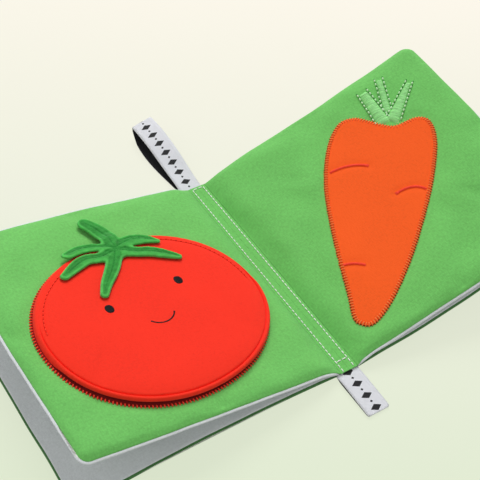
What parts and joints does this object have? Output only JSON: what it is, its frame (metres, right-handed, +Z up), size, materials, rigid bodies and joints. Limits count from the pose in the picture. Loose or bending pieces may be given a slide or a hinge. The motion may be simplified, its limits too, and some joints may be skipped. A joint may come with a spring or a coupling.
{
  "type": "soft cloth activity book",
  "caption": "Soft padded cloth book for a baby, lying open: cover and page leaves sewn along a spine, a tomato lift flap, a carrot on the facing page and folded tape tags.",
  "frame": {"origin": "on the table under the middle of the spine", "axes": "+X across the spread to the right page's fore edge, +Y along the spine to the head of the pages, +Z up from the table"},
  "size_m": [0.3443, 0.271, 0.0597],
  "materials": {
    "dark_green_cloth": "plain woven cotton, matt",
    "white_cloth": "plain woven cotton, matt",
    "green_cloth": "plain woven cotton, matt",
    "red_cloth": "plain woven cotton, matt",
    "orange_cloth": "plain woven cotton, matt",
    "green_felt": "soft felt",
    "pale_green_thread": "satin stitched thread",
    "tape": "woven satin tape",
    "wadding": "loose polyester wadding"
  },
  "bodies": {
    "spine": {"spine_cover_cloth": "dark_green_cloth", "spine_cover_lining": "white_cloth", "spine_page_back": "white_cloth", "spine_page_face": "green_cloth", "top_tag": "tape", "bottom_tag": "tape"},
    "left_cover": {"left_cover_cloth": "dark_green_cloth", "left_cover_wadding": "wadding", "left_cover_lining": "white_cloth"},
    "left_page": {"left_page_back": "white_cloth", "left_page_wadding": "wadding", "left_page_face": "green_cloth", "tomato_backdrop": "red_cloth", "tomato_top_back": "red_cloth", "tomato_top_wadding": "wadding", "tomato_top_front": "red_cloth", "calyx": "green_felt"},
    "tomato_flap": {"tomato_flap_back": "red_cloth", "tomato_flap_wadding": "wadding", "tomato_flap_front": "red_cloth"},
    "right_cover": {"right_cover_cloth": "dark_green_cloth", "right_cover_wadding": "wadding", "right_cover_lining": "white_cloth"},
    "right_page": {"right_page_back": "white_cloth", "right_page_wadding": "wadding", "right_page_face": "green_cloth", "carrot": "orange_cloth", "carrot_leaf_left": "pale_green_thread", "carrot_leaf_middle": "pale_green_thread", "carrot_leaf_right": "pale_green_thread"}
  },
  "joints": [
    {"name": "left_cover_fold", "type": "hinge", "parent": "spine", "child": "left_cover", "pos_m": [-0.007, 0, 0.002], "axis": [0, 1, 0], "range_deg": [-90, 76]},
    {"name": "left_page_fold", "type": "hinge", "parent": "left_cover", "child": "left_page", "pos_m": [-0.00535, 0, 0.0034], "axis": [0, -1, 0], "range_deg": [-115, 9.6]},
    {"name": "right_cover_fold", "type": "hinge", "parent": "spine", "child": "right_cover", "pos_m": [0.007, 0, 0.002], "axis": [0, -1, 0], "range_deg": [-102, 64]},
    {"name": "right_page_fold", "type": "hinge", "parent": "right_cover", "child": "right_page", "pos_m": [0.00509, 0, 0.00302], "axis": [0, 1, 0], "range_deg": [-108, 0]},
    {"name": "tomato_flap_lift", "type": "hinge", "parent": "left_page", "child": "tomato_flap", "pos_m": [-0.0854, -0.01, 0.03045], "axis": [0.9845, 0, -0.1754], "range_deg": [-155, 0]}
  ]
}
